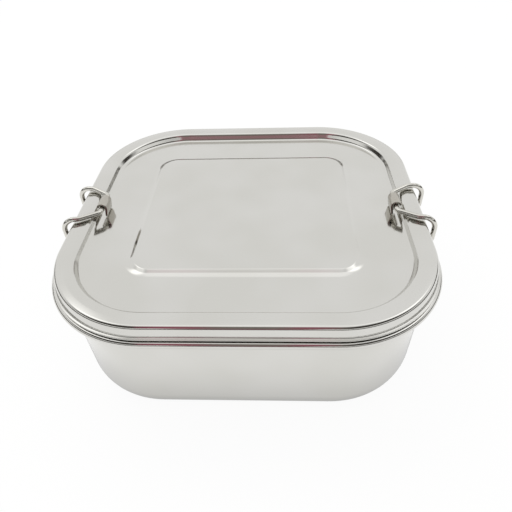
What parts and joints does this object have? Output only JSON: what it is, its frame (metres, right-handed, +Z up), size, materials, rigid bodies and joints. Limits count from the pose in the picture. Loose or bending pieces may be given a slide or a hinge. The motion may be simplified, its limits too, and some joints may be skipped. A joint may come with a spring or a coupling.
{
  "type": "lunch box",
  "caption": "Rounded square lunch box of pressed steel with a lift-off lid, held shut by a wire latch on each short side.",
  "frame": {"origin": "middle of the box, on the surface it stands on", "axes": "+Z up; +X towards the right latch, along the longer side; +Y towards the back long side"},
  "size_m": [0.1682, 0.155, 0.066],
  "materials": {
    "polished_steel": "mirror-polished stainless steel sheet",
    "latch_steel": "bright drawn stainless wire and rolled strip",
    "seal": "translucent white silicone"
  },
  "bodies": {
    "base": {"tray": "polished_steel", "right_bracket": "polished_steel", "left_bracket": "polished_steel"},
    "lid": {"lid": "polished_steel", "lid_seal": "seal"},
    "right_bail": {"right_bail": "latch_steel"},
    "left_bail": {"left_bail": "latch_steel"},
    "right_hook": {"right_hook": "latch_steel"},
    "left_hook": {"left_hook": "latch_steel"}
  },
  "joints": [
    {"name": "right_bail_swing", "type": "hinge", "parent": "base", "child": "right_bail", "pos_m": [0.07906, -0.002, 0.0474], "axis": [0, 1, 0], "range_deg": [0, 150]},
    {"name": "left_bail_swing", "type": "hinge", "parent": "base", "child": "left_bail", "pos_m": [-0.07906, -0.002, 0.0474], "axis": [0, -1, 0], "range_deg": [0, 150]},
    {"name": "right_hook_swing", "type": "hinge", "parent": "right_bail", "child": "right_hook", "pos_m": [0.0672, -0.002, 0.0636], "axis": [0, 1, 0], "range_deg": [0, 105]},
    {"name": "left_hook_swing", "type": "hinge", "parent": "left_bail", "child": "left_hook", "pos_m": [-0.0672, -0.002, 0.0636], "axis": [0, -1, 0], "range_deg": [0, 105]},
    {"name": "lid_lift", "type": "slide", "parent": "base", "child": "lid", "axis": [0, 0, 1], "range_m": [0, 0.0105]}
  ],
  "couplings": [
    {"joint": "left_bail_swing", "follows": "right_bail_swing", "ratio": 1},
    {"joint": "right_hook_swing", "follows": "right_bail_swing", "ratio": 0.7},
    {"joint": "left_hook_swing", "follows": "right_bail_swing", "ratio": 0.7},
    {"joint": "lid_lift", "follows": "right_bail_swing", "m_per_rad": 0.004}
  ]
}
